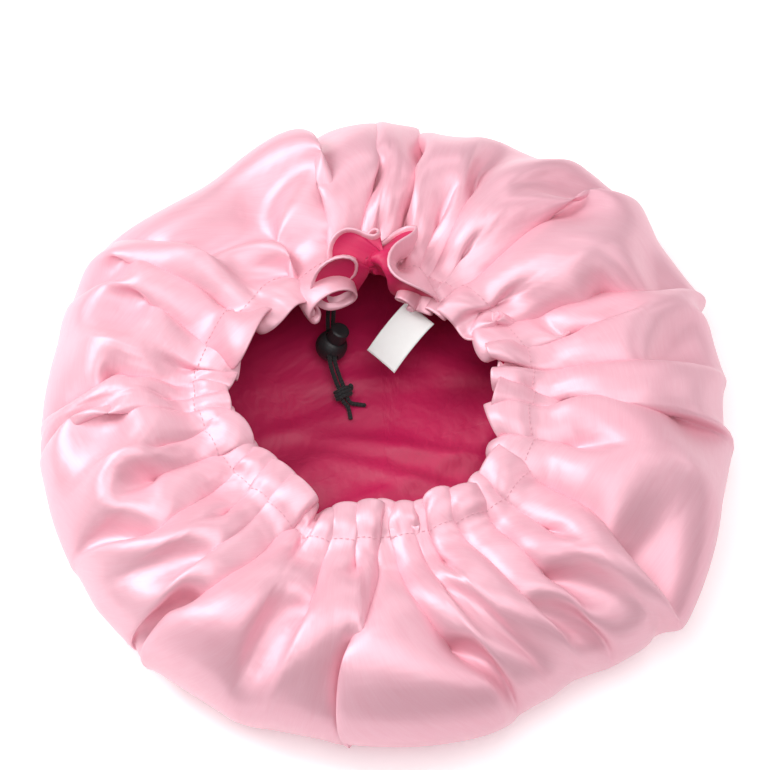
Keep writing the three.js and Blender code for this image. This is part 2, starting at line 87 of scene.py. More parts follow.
# The creases that fan out from the mouth. hem, neck and brow: the angles where each one leaves the mouth's
# edge, passes just outside the stitches, and nears the outline. depth and width in millimetres; reach: how
# far out it runs (1 is the outline); lap: how far the cloth past it hangs over it, less than nothing for the
# cloth before it; nick: how far it draws the mouth's edge back.
CREASES = table("hem neck brow depth width reach lap nick", [
    (3, -1, -4, 4, 6, 0.55, 1, 1),
    (13, 5, 0, 7, 8, 0.7, 2, 3),
    (21, 14, 9, 7, 8, 0.75, 2, 2),
    (30, 24, 20, 9, 10, 0.8, 3, 3),
    (39, 34, 27, 16, 9, 1.25, 6, 9),
    (47, 42, 38, 5, 5, 0.5, -2, 4),
    (55, 53, 47, 14, 7, 0.8, 3, 4),
    (61, 61, 58, 7, 5, 0.5, -2, 2),
    (67, 67, 68, 8, 6, 0.75, 2, 2),
    (74, 72, 73, 8, 6, 0.75, -2, 4),
    (79, 77, 79, 9, 4, 0.5, 2, 3),
    (84, 81, 83, 15, 5, 1.0, 3, 8),
    (88, 86, 88, 8, 4, 0.6, -2, 3),
    (92, 91, 92, 11, 5, 0.95, 2, 5),
    (98, 99, 104, 9, 9, 0.9, -3, 3),
    (110, 114, 121, 5, 14, 0.8, 0, 2),
    (124, 129, 139, 7, 15, 0.95, -3, 1),
    (137, 141, 148, 6, 9, 0.8, 2, 2),
    (152, 152, 155, 14, 6, 0.75, -3, 9),
    (161, 163, 164, 4, 6, 0.6, 0, 1),
    (168, 169, 176, 12, 8, 1.2, -6, 5),
    (174, 176, 181, 6, 4, 0.4, 2, 4),
    (180, 182, 186, 6, 4, 0.4, -2, 4),
    (186, 191, 196, 10, 5, 0.5, 3, 9),
    (196, 199, 204, 10, 7, 0.8, -3, 4),
    (203, 211, 210, 15, 9, 1.2, 5, 3),
    (216, 221, 217, 6, 6, 0.5, -2, 3),
    (230, 230, 225, 7, 6, 0.55, 2, 5),
    (243, 240, 231, 17, 9, 1.05, 6, 3),
    (250, 248, 244, 5, 5, 0.45, 2, 3),
    (259, 258, 252, 10, 11, 0.9, 5, 3),
    (268, 267, 262, 5, 7, 0.6, -2, 1),
    (279, 274, 267, 16, 7, 0.7, 4, 2),
    (287, 281, 285, 16, 7, 1.0, -4, 2),
    (295, 290, 291, 10, 6, 0.7, 3, 9),
    (303, 296, 297, 9, 6, 0.65, 3, 9),
    (311, 305, 304, 9, 6, 0.75, 2, 3),
    (320, 314, 311, 8, 6, 0.85, -2, 8),
    (329, 323, 319, 7, 7, 0.7, 2, 3),
    (341, 335, 326, 16, 8, 1.15, 4, 6),
    (350, 348, 344, 6, 7, 0.8, -2, 2),
])

# The satin's section from the stitches (0) over the top, the outline (1) and under to the flat crown.
# spread: of the way from stitches to outline, and past 1 of the way from the origin; height: of the crest.
SECTION = table("along spread height", [
    (0.0, 0.0, 0.82), (0.06, 0.06, 0.865), (0.14, 0.14, 0.925), (0.27, 0.27, 0.985), (0.44, 0.44, 1.0),
    (0.6, 0.6, 0.955), (0.75, 0.75, 0.845), (0.87, 0.87, 0.7), (0.95, 0.95, 0.56), (1.0, 1.0, 0.43),
    (1.05, 0.98, 0.28), (1.1, 0.945, 0.155), (1.16, 0.89, 0.055), (1.22, 0.83, 0.012), (1.32, 0.74, 0.0),
])

# ---- Curves and waves -------------------------------------------------------------------------------


def around(rows, column, degrees):
    """A table's column at any angles, on a smooth curve that closes round the circle."""
    stops, values = rows["deg"], rows[column]
    turns = np.concatenate([stops[-2:] - 360, stops, stops[:2] + 360])
    values = np.concatenate([values[-2:], values, values[:2]])
    return smooth_between(turns, values, np.mod(degrees, 360.0))


def smooth_between(stops, values, at):
    """A curve through the stops that doesn't overshoot them much, at any places between."""
    slopes = np.gradient(values, stops)
    k = np.clip(np.searchsorted(stops, at, side="right") - 1, 0, len(stops) - 2)
    width = stops[k + 1] - stops[k]
    t = np.clip((at - stops[k]) / width, 0.0, 1.0)
    return (
        (1 + 2 * t) * (1 - t) ** 2 * values[k]
        + t * (1 - t) ** 2 * width * slopes[k]
        + t ** 2 * (3 - 2 * t) * values[k + 1]
        - t ** 2 * (1 - t) * width * slopes[k + 1]
    )


def lengths(vectors):
    return np.sqrt((vectors * vectors).sum(-1)) + 1e-9


def distances(path):
    """How far along a path each of its points is."""
    return np.append(0, np.cumsum(lengths(np.diff(path, axis=0))))


def between(at, gone, values):
    """The values that go with the distances gone, at any distances between them."""
    return np.stack([np.interp(at, gone, values[:, k]) for k in range(3)], -1)


def ease(low, high, at):
    t = np.clip((at - low) / (high - low), 0.0, 1.0)
    return t * t * (3 - 2 * t)


def bell(at, middle, width):
    return np.exp(-(((at - middle) / width) ** 2))


def smoothed(values, passes):
    """Values in rows that close round, evened out along each row."""
    for _ in range(passes):
        values = (np.roll(values, 1, axis=1) + 2 * values + np.roll(values, -1, axis=1)) / 4
    return values


def both_ways(points):
    """The way round the rows at each point, and the way that the cloth faces there, both of any length."""
    round_way = np.roll(points, -1, axis=1) - np.roll(points, 1, axis=1)
    return round_way, np.cross(np.gradient(points, axis=0), round_way)


def casing_at(degrees, distance):
    """The casing at angles round the mouth, that far from the stitches, before it is gathered."""
    tilt = np.radians(around(STITCHES, "tilt", degrees))
    radius = around(STITCHES, "radius", degrees) - distance * np.cos(tilt)
    radians = np.radians(degrees)
    return np.stack([
        MOUTH_X + radius * np.cos(radians),
        MOUTH_Y + radius * np.sin(radians),
        STITCH_HEIGHT + distance * np.sin(tilt),
    ], axis=-1)


def ripples(radians, along, bumps, drift, seed):
    """Uneven waves round the mouth: about that many bumps in a turn, which wander as they run outwards."""
    chance = np.random.default_rng(seed)
    total = np.zeros(np.broadcast(radians, along).shape)
    for k in range(5):
        count = max(1, round(bumps * (0.7 + 0.6 * chance.random())))
        phase = chance.random() * 2 * math.pi
        wander = drift * (2 * chance.random() - 1)
        total = total + np.cos(count * radians + phase + wander * along * 2 * math.pi)
    return total / 5 ** 0.5


# ---- The cloth's shape ------------------------------------------------------------------------------


class Gathers:
    """The double cloth as lines that run out from the mouth's edge, and rows that run round it."""

    def __init__(self, casing_rows, section_rows):
        self.casing = np.asarray(casing_rows)[:, None]  # 1 the mouth's edge to 0 the stitches
        self.along = np.asarray(section_rows)[:, None]
        self.count = len(CREASES["hem"])
        self.columns = self.count * COLUMNS_PER_CREASE
        self.t = np.concatenate([
            CASING_SHARE * (1 - self.casing), CASING_SHARE + (1 - CASING_SHARE) * self.along,
        ])
        self.angle = self._angles()
        self.radians = np.radians(self.angle)
        self.base = self.smooth_base(np.full(self.columns, CASING))
        self.across = self._distance_round(self.base)
        self.to_crease = self._distances_to_creases()

    def _angles(self):
        """The angle of each crease at each row, and the lines between creases spread evenly."""
        t = np.clip(self.t, 0.0, 0.95)
        hem, neck, brow = (CREASES[name][None, :] for name in ("hem", "neck", "brow"))
        at_hem = (t - NECK_T) * (t - BROW_T) / (NECK_T * BROW_T)
        at_neck = t * (t - BROW_T) / (NECK_T * (NECK_T - BROW_T))
        at_brow = t * (t - NECK_T) / (BROW_T * (BROW_T - NECK_T))
        creases = hem * at_hem + neck * at_neck + brow * at_brow
        closed = np.concatenate([creases, creases[:, :1] + 360], axis=1)
        places = np.arange(self.columns) / COLUMNS_PER_CREASE
        k = places.astype(int)
        share = places - k
        share = share - 0.07 * np.sin(2 * math.pi * share)  # closer together beside the creases
        return closed[:, k] * (1 - share) + closed[:, k + 1] * share

    def smooth_base(self, hem_distance):
        """The smooth surface under the folds."""
        rows = len(self.casing)
        casing = casing_at(self.angle[:rows], self.casing * hem_distance[None, :])
        angle, radians, along = self.angle[rows:], self.radians[rows:], self.along
        inner = around(STITCHES, "radius", angle)
        outer = around(OUTLINE, "radius", angle)
        spread = smooth_between(SECTION["along"], SECTION["spread"], along)
        height = smooth_between(SECTION["along"], SECTION["height"], along)
        crest = around(OUTLINE, "crest", angle)
        start = np.stack([MOUTH_X + inner * np.cos(radians), MOUTH_Y + inner * np.sin(radians)], -1)
        rim = np.stack([outer * np.cos(radians), outer * np.sin(radians)], -1)
        spread, under = spread[..., None], (along > 1.0)[..., None]
        plan = np.where(under, rim * spread, start * (1 - spread) + rim * spread)
        at_stitches = np.exp(-along / 0.08)
        z = crest * height * (1 - at_stitches) + STITCH_HEIGHT * at_stitches
        return np.concatenate([casing, np.concatenate([plan, z[..., None]], -1)])

    def _distance_round(self, points):
        step = np.linalg.norm(np.roll(points, -1, axis=1) - points, axis=-1)
        start = np.concatenate([np.zeros((len(step), 1)), np.cumsum(step, axis=1)], axis=1)
        self.round = start[:, -1:]
        return start[:, :-1]

    def _distances_to_creases(self):
        """How far each point is from each crease, along its row."""
        at = self.across[:, ::COLUMNS_PER_CREASE]
        gap = self.across[:, :, None] - at[:, None, :]
        whole = self.round[:, :, None]
        return gap - whole * np.round(gap / whole)

    def frames(self, points, blur):
        """The way the cloth faces at each point, and the way round it."""
        round_way, facing = both_ways(points)
        for _ in range(blur):
            facing = facing + np.roll(facing, 1, axis=1) + np.roll(facing, -1, axis=1)
            padded = np.concatenate([facing[:1], facing, facing[-1:]])
            facing = facing + padded[:-2] + padded[2:]
        facing /= np.linalg.norm(facing, axis=-1, keepdims=True)
        round_way /= np.linalg.norm(round_way, axis=-1, keepdims=True)
        return facing, round_way


def crease_depths(gathers):
    """How much each crease draws each row in."""
    t = gathers.t
    reach = CREASES["reach"][None, :]
    opening = 0.6 - 0.2 * ease(0.0, 0.1, t) + 0.2 * ease(0.12, 0.2, t) + 0.4 * ease(0.2, 0.34, t)
    fade = 1 - ease(0.35 * reach, reach, t)
    return CREASES["depth"][None, :] * opening * fade


def fold_heights(gathers, depths):
    """The creases and the round puffs between them."""
    t = gathers.t
    width = CREASES["width"][None, None, :] * (0.42 + 1.15 * t)[:, :, None]
    rounding = 0.5 + 1.2 * t[:, :, None]
    gap = np.sqrt(gathers.to_crease ** 2 + rounding ** 2) - rounding
    return -(depths[:, None, :] * np.exp(-gap / width)).sum(-1)


def fold_laps(gathers):
    """How far the cloth beside each crease is pushed round over it."""
    t = gathers.t[:, :, None]
    reach = CREASES["reach"][None, None, :]
    lap = CREASES["lap"][None, None, :]
    width = 0.75 * CREASES["width"][None, None, :] * (0.5 + t)
    shown = ease(0.14, 0.3, t) * (1 - ease(0.4 * reach, 0.95 * reach, t))
    side = np.sign(lap)
    return -(lap * shown * bell(gathers.to_crease * side, width, 0.9 * width)).sum(-1)


def drawn_back(gathers):
    """How far the mouth's edge stands from the stitches on each line."""
    gap = np.abs(gathers.to_crease[0])
    scallop = (CREASES["nick"][None, :] * np.exp(-gap / 3.2)).sum(-1)
    uneven = 1.0 * ripples(gathers.radians[0], 0.0, 23, 0.0, 5)
    return CASING + 1.0 - scallop + uneven


def fine_folds(gathers):
    """Small pleats at the stitches, and the broad soft dents further out."""
    t, radians = gathers.t, gathers.radians
    pleats = 0.75 * bell(t, 0.25, 0.055) * ripples(radians, t, 118, 3.0, 1)
    pleats = pleats + 0.5 * bell(t, 0.3, 0.09) * ripples(radians, t, 74, 2.0, 2)
    casing = 0.8 * (1 - ease(0.16, 0.24, t)) * ripples(radians, t, 52, 2.0, 3)
    broad = 2.4 * ease(0.3, 0.6, t) * (1 - ease(1.02, 1.2, t)) * ripples(radians, t, 17, 1.2, 4)
    finer = 0.9 * ease(0.3, 0.5, t) * (1 - ease(0.95, 1.15, t)) * ripples(radians, t, 38, 1.5, 6)
    return pleats + casing + broad + finer


def casing_puff(gathers):
    """The casing is full over the drawstring and pinched by the stitches."""
    t = gathers.t
    full = 3.2 * bell(t, CHANNEL_T, 0.07)
    pinch = 2.2 * bell(t, CASING_SHARE, 0.014)
    return full - pinch


CASING_ROWS = np.linspace(1.0, 0.0, 19)
SECTION_ROWS = np.concatenate([
    np.linspace(0.012, 0.2, 16), np.linspace(0.22, 1.0, 38), np.linspace(1.025, 1.32, 13),
])
STITCH_ROW = len(CASING_ROWS) - 1

# How much more cloth there is round each row than the room it lies in, how stiffly it bends there, and how
# strongly it is held where it started.
FULLNESS = table("t ratio bend hold", [
    (0.0, 3.0, 1.8, 3), (0.05, 2.9, 1.7, 3), (0.12, 2.6, 1.6, 4), (0.2, 2.3, 1.4, 4), (0.25, 2.0, 1.2, 2),
    (0.4, 1.9, 1.4, 1.5), (0.6, 1.75, 1.7, 1), (0.8, 1.52, 1.9, 1), (1.0, 1.2, 1.9, 1.5),
    (1.1, 1.04, 1.6, 3), (1.25, 1.0, 1, 5),
])
SETTLING_STEPS = 900
HELD_T = 1.2  # the crown past this lies still
GROWING_SHARE = 0.7  # of the settling, while the rows grow to their full width
CLOTH_GAP = 1.5  # between the two sides of a fold, and wider in the casing, where the cloth is doubled
HEM_GAP, CASING_GAP = 2.0, 1.8
CORD_ROOM = 2.1  # the satin stays this far outside the drawstring's line
CORD_DEPTH = 1.9  # the drawstring's line lies this far under the lowest fold
FOLD_STEPS = (3, 4, 5, 6, 8, 10, 13, 16, 20)  # how many lines apart the two sides of a fold may be
BEND_REACH = 6  # the stiffest cloth bends over this many lines
ROUND_PULL, OUT_PULL, SLANT_PULL = 0.8, 0.9, 0.15
STIFF_ROUND, STIFF_OUT = 0.05, 0.05
DRAG = 0.85  # the share of its last move that the cloth keeps
PUFF = 0.003  # how far the air inside pushes the cloth out at each step
HOLD = 0.001  # the share of the way back to its start that the cloth is pulled at each step, times its hold


def casing_lobes(gathers):
    """The casing swells between its creases, and some of its lobes stand up more than others at the edge."""
    t = gathers.t
    places = np.arange(gathers.columns) / COLUMNS_PER_CREASE
    lobe = places.astype(int)
    swell = np.sin(math.pi * (places - lobe)) ** 0.8
    wide = np.diff(np.append(gathers.across[0, ::COLUMNS_PER_CREASE], gathers.round[0]))
    chance = np.random.default_rng(4)
    lift = chance.uniform(-3.0, 6.0, gathers.count)
    shown = 1 - ease(0.15, 0.3, t)
    return 0.5 * wide[lobe] * swell * shown + lift[lobe] * swell * (1 - ease(0.0, 0.14, t))


def satin_start(gathers):
    """The drawn-back base with the folds that start the gathers, and the way the cloth faces."""
    gathers.base = gathers.smooth_base(drawn_back(gathers))
    facing, round_way = gathers.frames(gathers.base, 2)
    depths = crease_depths(gathers)
    height = fold_heights(gathers, depths) + fine_folds(gathers) + casing_puff(gathers)
    height = height + casing_lobes(gathers)
    flat = 1 - ease(1.12, 1.24, gathers.t)
    lap = fold_laps(gathers)
    points = gathers.base + facing * (height * flat)[..., None] + round_way * (lap * flat)[..., None]
    return points, facing


class Cloth:
    """Rows and lines of cloth. The rows grow to its full width, and it folds up in the room it has."""

    def __init__(self, gathers, points, facing):
        self.x = points.astype(np.float32)
        self.start = self.x.copy()
        self.base = gathers.base.astype(np.float32)
        self.facing = facing.astype(np.float32)
        self.t = gathers.t[:, 0]
        self.held = self.t > HELD_T
        room = smoothed(lengths(np.roll(gathers.base, -1, axis=1) - gathers.base), 6)
        ratio = np.interp(self.t, FULLNESS["t"], FULLNESS["ratio"])[:, None]
        ratio = 1 + (ratio - 1) * (1 + 0.3 * ripples(gathers.radians, gathers.t, 9, 0.5, 8))
        self.round_start = lengths(np.roll(self.x, -1, axis=1) - self.x)
        self.round_full = np.maximum(room * ratio, self.round_start * 0.98).astype(np.float32)
        self.out = lengths(np.diff(self.base, axis=0))
        bend = np.interp(self.t, FULLNESS["t"], FULLNESS["bend"])[:, None]
        self.bend = bend * (1 + 0.3 * ripples(gathers.radians, gathers.t, 7, 0.4, 12))
        gap = np.interp(self.t, [0, 0.2, 0.26], [HEM_GAP, CASING_GAP, CLOTH_GAP])
        self.gap = gap[:, None].astype(np.float32)

    @staticmethod
    def pull(a, b, rest, strength):
        """What moves a and b towards the rest length between them."""
        apart = b - a
        far = lengths(apart)
        return (strength * 0.5 * (far - rest) / far)[..., None] * apart

    def keep_round(self, rest, strength):
        x = self.x
        for first in (0, 1):
            a = x[:, first::2]
            b = x[:, 1::2] if first == 0 else np.roll(x[:, 0::2], -1, axis=1)
            move = self.pull(a, b, rest[:, first::2], strength)
            a += move
            if first == 0:
                b -= move
            else:
                x[:, 0::2] -= np.roll(move, 1, axis=1)

    def row_pairs(self):
        """Each row with the next one out, in two rounds that use no row twice."""
        for first in (0, 1):
            here = slice(first, first + (len(self.x) - first) // 2 * 2, 2)
            yield here, self.x[here], self.x[here.start + 1:here.stop + 1:2]

    def keep_out(self, strength):
        for here, a, b in self.row_pairs():
            move = self.pull(a, b, self.out[here], strength)
            a += move
            b -= move

    def keep_square(self, rest, strength):
        slant = np.sqrt((0.5 * (rest[1:] + rest[:-1])) ** 2 + self.out ** 2)
        for here, a, b in self.row_pairs():
            for turn in (-1, 1):
                far = slant[here] if turn == -1 else np.roll(slant[here], 1, axis=1)
                move = self.pull(a, np.roll(b, turn, axis=1), far, strength)
                a += move
                b -= np.roll(move, -turn, axis=1)

    def unbend_round(self, stride, amount):
        curl = np.roll(self.x, stride, axis=1) + np.roll(self.x, -stride, axis=1) - 2 * self.x
        change = np.roll(curl, stride, axis=1) + np.roll(curl, -stride, axis=1) - 2 * curl
        self.x -= amount * change

    def unbend_out(self, amount):
        curl = np.zeros_like(self.x)
        curl[1:-1] = self.x[2:] + self.x[:-2] - 2 * self.x[1:-1]
        change = np.zeros_like(self.x)
        change[1:-1] = curl[2:] + curl[:-2] - 2 * curl[1:-1]
        change[0] = curl[1]
        self.x -= amount * change

    def part_folds(self):
        """Keeps the two sides of each fold a cloth's thickness apart."""
        move = np.zeros_like(self.x)
        for steps in FOLD_STEPS:
            apart = np.roll(self.x, -steps, axis=1) - self.x
            far = lengths(apart)
            share = (0.25 * np.clip(self.gap - far, 0, None) / far)[..., None] * apart
            move += np.roll(share, steps, axis=1) - share
        self.x += move

    def faces(self):
        facing = both_ways(self.x)[1]
        return facing / lengths(facing)[..., None]

    def clear_cord(self):
        """The casing stays outside the drawstring that runs through it."""
        rows = slice(0, STITCH_ROW)
        room = CORD_ROOM * np.minimum(1, 1.6 * bell(self.t[rows], CHANNEL_T, 0.045))
        out = ((self.x[rows] - self.base[rows]) * self.facing[rows]).sum(-1)
        short = np.clip(room[:, None] - out, 0, None)
        self.x[rows] += short[..., None] * self.facing[rows]

    def settle(self, steps):
        before = self.x.copy()
        hold = HOLD * np.interp(self.t, FULLNESS["t"], FULLNESS["hold"])
        hold = hold[:, None, None].astype(np.float32)
        stiff = [
            (np.clip(self.bend - k, 0, 1) * STIFF_ROUND)[..., None].astype(np.float32)
            for k in range(BEND_REACH)
        ]
        for step in range(steps):
            grown = float(ease(0, GROWING_SHARE * steps, step))
            rest = self.round_start * (1 - grown) + self.round_full * grown
            moved = (self.x - before) * DRAG
            before = self.x.copy()
            if step % 4 == 0:
                push = self.faces() * PUFF
                push[:STITCH_ROW] *= 0.9
            self.x += moved + push + hold * (self.start - self.x)
            self.keep_round(rest, ROUND_PULL)
            self.keep_out(OUT_PULL)
            self.keep_square(rest, SLANT_PULL)
            for k, amount in enumerate(stiff):
                if amount.any():
                    self.unbend_round(k + 1, amount)
            self.unbend_out(STIFF_OUT)
            if step % 3 == 0:
                self.part_folds()
                self.clear_cord()
            self.x[self.held] = self.start[self.held]
            np.maximum(self.x[..., 2], 0, out=self.x[..., 2])
        return self.x.astype(float)


# ---- Meshes -----------------------------------------------------------------------------------------


def new_piece(name, points, faces, uvs=None):
    """A smooth mesh from points in millimetres. uvs: a pair for each corner of each face, in metres."""
    mesh = bpy.data.meshes.new(name)
    mesh.from_pydata((np.asarray(points, float) * MM).tolist(), [], faces)
    if uvs is not None:
        layer = mesh.uv_layers.new(name="cloth")
        layer.data.foreach_set("uv", np.asarray(uvs, float).ravel())
    mesh.shade_smooth()
    piece = bpy.data.objects.new(name, mesh)
    bpy.context.scene.collection.objects.link(piece)
    return piece


def finish_piece(piece, material, slot, *nodes):
    """Gives a piece its material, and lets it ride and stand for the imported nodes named."""
    piece.data.materials.append(material)
    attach(piece, "bonnet")
    if nodes:
        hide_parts(*nodes)


def grid_piece(name, rows, flat_radius, middle, flip=False):
    """Cloth of rows that close round, down to a last point. flat_radius: each row's on the cut circle."""
    count, columns = rows.shape[:2]
    turn = np.arange(columns) / columns * 2 * math.pi
    flat = flat_radius[:, None, None] * MM * np.stack([np.cos(turn), np.sin(turn)], -1)[None]
    flat = np.concatenate([flat.reshape(-1, 2), np.zeros((1, 2))])
    points = np.concatenate([rows.reshape(-1, 3), np.array([middle], float)])
    index = np.arange(count * columns).reshape(count, columns)
    beside = np.roll(index, -1, axis=1)
    quads = np.stack([index[:-1], index[1:], beside[1:], beside[:-1]], -1).reshape(-1, 4)
    last = np.stack([index[-1], np.full(columns, count * columns), beside[-1]], -1)
    if flip:
        quads, last = quads[:, ::-1], last[:, ::-1]
    corners = np.concatenate([quads.ravel(), last.ravel()])
    return new_piece(name, points, quads.tolist() + last.tolist(), flat[corners])


def tube(name, path, radius, sides, closed=False):
    """A round cord along a path in millimetres."""
    path = np.asarray(path, float)
    if closed:
        along = np.roll(path, -1, axis=0) - np.roll(path, 1, axis=0)
    else:
        along = np.gradient(path, axis=0)
    along /= lengths(along)[:, None]
    side = np.cross(along[0], (0.0, 0.0, 1.0))
    if lengths(side) < 0.3:
        side = np.cross(along[0], (0.0, 1.0, 0.0))
    sideways = []
    for way in along:
        side = side - way * (side @ way)
        side /= lengths(side)
        sideways.append(side)
    sideways = np.array(sideways)
    up = np.cross(sideways, along)
    turn = np.linspace(0, 2 * math.pi, sides, endpoint=False)[None, :, None]
    rings = path[:, None] + radius * (sideways[:, None] * np.cos(turn) + up[:, None] * np.sin(turn))
    points = rings.reshape(-1, 3)

    index = np.arange(len(points)).reshape(-1, sides)
    rows = np.concatenate([index, index[:1]]) if closed else index
    gone = distances(np.concatenate([path, path[:1]]) if closed else path) * MM
    beside = np.roll(rows, -1, axis=1)
    faces = np.stack([rows[:-1], beside[:-1], beside[1:], rows[1:]], -1).reshape(-1, 4).tolist()
    u, w = np.broadcast_arrays(gone[:-1, None], gone[1:, None])
    v = np.arange(sides)[None] / sides
    corners = [(u, v), (u, v + 1 / sides), (w, v + 1 / sides), (w, v)]
    uvs = np.stack([np.stack(np.broadcast_arrays(*corner), -1) for corner in corners], 2)
    uvs = uvs.reshape(-1, 2).tolist()
    if not closed:
        for end, bulge in ((0, -END_BULGE), (-1, END_BULGE)):
            ring, tip = index[end], np.full(sides, len(points))
            if end == 0:
                fan = [ring, tip, np.roll(ring, -1)]
            else:
                fan = [np.roll(ring, -1), tip, ring]
            points = np.concatenate([points, [path[end] + along[end] * radius * bulge]])
            faces += np.stack(fan, -1).tolist()
            uvs += [(gone[end], 0.5)] * 3 * sides
    return new_piece(name, points, faces, uvs)


def part_way(p, q, start, end, at):
    return p + (q - p) * (at - start) / (end - start)


def smooth_path(stops, steps):
    """A smooth path through the stops, with its points evenly spaced."""
    stops = np.asarray(stops, float)
    knots = np.append(0, np.cumsum(np.sqrt(lengths(np.diff(stops, axis=0)))))
    ends = np.concatenate([[2 * stops[0] - stops[1]], stops, [2 * stops[-1] - stops[-2]]])
    first = knots[0] - (knots[1] - knots[0])
    last = knots[-1] + (knots[-1] - knots[-2])
    knots = np.concatenate([[first], knots, [last]])
    fine = []
    for k in range(1, len(ends) - 2):
        t0, t1, t2, t3 = knots[k - 1:k + 3]
        p0, p1, p2, p3 = ends[k - 1:k + 3]
        for t in np.linspace(t1, t2, 24, endpoint=k == len(ends) - 3):
            a = part_way(p0, p1, t0, t1, t)
            b = part_way(p1, p2, t1, t2, t)
            c = part_way(p2, p3, t2, t3, t)
            fine.append(part_way(part_way(a, b, t0, t2, t), part_way(b, c, t1, t3, t), t1, t2, t))
    fine = np.array(fine)
    gone = distances(fine)
    return between(np.linspace(0, gone[-1], steps), gone, fine)


# ---- Cords ------------------------------------------------------------------------------------------

# The two free ends of the drawstring, from the buttonhole down to the lock, and on to the knot.
STRANDS_DOWN = np.array([
    (-29.6, 73.4, 61), (-29.6, 76.5, 54), (-29.6, 80.5, 44), (-30, 82.2, 34), (-30.5, 80.6, 25.5),
])
STRANDS_OUT = np.array([(-29, 51, 22.4), (-26.6, 45, 17.8)])
TAILS = {
    "left": np.array([(-20.9, 31.2, 10), (-19.8, 27.6, 8.9), (-19.2, 24, 8.4)]),
    "right": np.array([(-18.6, 33.2, 10.3), (-15.2, 33, 9.4), (-11, 32.6, 9)]),
}


def strand_path(side, tail):
    """side: -1 for the left strand, 1 for the right one."""
    half_hole = math.degrees(BUTTONHOLE_HALF / BUTTONHOLE_RADIUS)
    half = side * STRAND_APART / 2
    across = np.array(LOCK_BORE.cross(LOCK_CORDS))
    knot_across = np.array(Vector((0, 0, 1)).cross(KNOT_AXIS).normalized())
    start = casing_at(BUTTONHOLE_ANGLE - side * (half_hole - 0.4), CHANNEL)
    turn_down = casing_at(BUTTONHOLE_ANGLE - side * half_hole / 2.2, CHANNEL)
    turn_down[2] -= 0.7
    stops = [start, turn_down]
    stops += list(STRANDS_DOWN + (half, 0, 0))
    stops += [np.array(LOCK_AT) + np.array(LOCK_CORDS) * d + across * half for d in (-11.5, -6, 6, 10.5)]
    for k, at in enumerate(STRANDS_OUT):
        share = (k + 1) / 3
        way = across * (1 - share) + knot_across * share
        stops.append(at + way / lengths(way) * half)
    stops += [np.array(KNOT_AT) + np.array(KNOT_AXIS) * d + knot_across * half for d in (-4.5, 4.5)]
    stops += list(TAILS[tail])
    return smooth_path(stops, 110)


def make_strands(material):
    for side, tail in ((-1, "left"), (1, "right")):
        path = strand_path(side, tail)
        strand = tube("strand_" + tail, path, CORD / 2, sides=14)
        finish_piece(strand, material, "black_cord", "cord_end_" + tail)
        length = float(lengths(np.diff(path, axis=0)).sum()) * MM


KNOT_START = 0.6  # where round the strands the knot's first turn starts, in radians
KNOT_WOUND = 2 * math.pi * 2.6
KNOT_CROSSING = 2.4


def make_knot(material):
    """Three tight turns of cord round both strands, and the turn that crosses over them."""
    middle, axis = np.array(KNOT_AT), np.array(KNOT_AXIS)
    side = np.array(Vector((0, 0, 1)).cross(KNOT_AXIS).normalized())
    up = np.cross(axis, side)
    wide, tall = STRAND_APART / 2 + CORD + 0.25, CORD + 0.2

    def at(turn, along, size):
        return middle + axis * along + (side * wide * math.cos(turn) + up * tall * math.sin(turn)) * size

    wind = []
    for share in np.linspace(0, 1, 96):
        turn = KNOT_START + KNOT_WOUND * share
        wind.append(at(turn, (share - 0.5) * 2.1 * CORD + 0.25 * math.sin(3 * turn), 1.0))
    for share in np.linspace(0, 1, 26)[1:]:
        wind.append(at(KNOT_START + KNOT_WOUND + KNOT_CROSSING * share, (1.05 - 2.3 * share) * CORD, 1.36))
    knot = tube("knot_turns", smooth_path(wind[::2], 150), CORD / 2, sides=12)
    finish_piece(knot, material, "black_cord", "cord_knot")
    return knot


FOLD_NEAR = 6.0  # folds of satin this near lie over a point of the casing
ROWS_NEAR, LINES_NEAR = 4, 48  # and they are looked for among this many rows and lines to each side
FLOOR_T = 0.38
FLOOR_LOWEST, FLOOR_HIGHEST = -5.0, 4.0


def casing_floor(gathers, points, facing, passes):
    """A smooth surface that lies under all of the satin's folds, near the mouth."""
    out = ((points - gathers.base) * facing).sum(-1)
    aside = smoothed(points - gathers.base - facing * out[..., None], 3 * passes)
    base = gathers.base + aside
    rows = np.arange(int((gathers.t < FLOOR_T).sum()))
    lowest = np.minimum(out, FLOOR_HIGHEST)
    for up in range(-ROWS_NEAR, ROWS_NEAR + 1):
        beside_row = points[np.clip(rows + up, 0, None)]
        for round_by in range(-LINES_NEAR, LINES_NEAR + 1, 2):
            apart = np.roll(beside_row, round_by, axis=1) - base[rows]
            height = (apart * facing[rows]).sum(-1)
            away = (apart ** 2).sum(-1) - height ** 2
            lower = np.where(away < FOLD_NEAR ** 2, np.clip(height, FLOOR_LOWEST, None), np.inf)
            lowest[rows] = np.minimum(lowest[rows], lower)
    return base + facing * smoothed(lowest, passes)[..., None]


def make_drawstring(gathers, points, facing, material):
    """The cord runs round inside the casing, where the cloth is gathered on it."""
    floor = casing_floor(gathers, points, facing, passes=16)
    row = int(np.argmin(np.abs(gathers.t[:STITCH_ROW, 0] - CHANNEL_T)))
    path = smoothed((floor[row] - facing[row] * CORD_DEPTH)[None], 8)[0]
    drawstring = tube("drawstring_cord", path[::3], CORD / 2, sides=8, closed=True)
    finish_piece(drawstring, material, "black_cord", "drawstring")


# ---- Satin and lining -------------------------------------------------------------------------------


def surface_facing(points):
    """The way the folded cloth itself faces."""
    facing = both_ways(points)[1]
    facing = facing + np.roll(facing, 1, axis=1) + np.roll(facing, -1, axis=1)
    return facing / lengths(facing)[..., None]


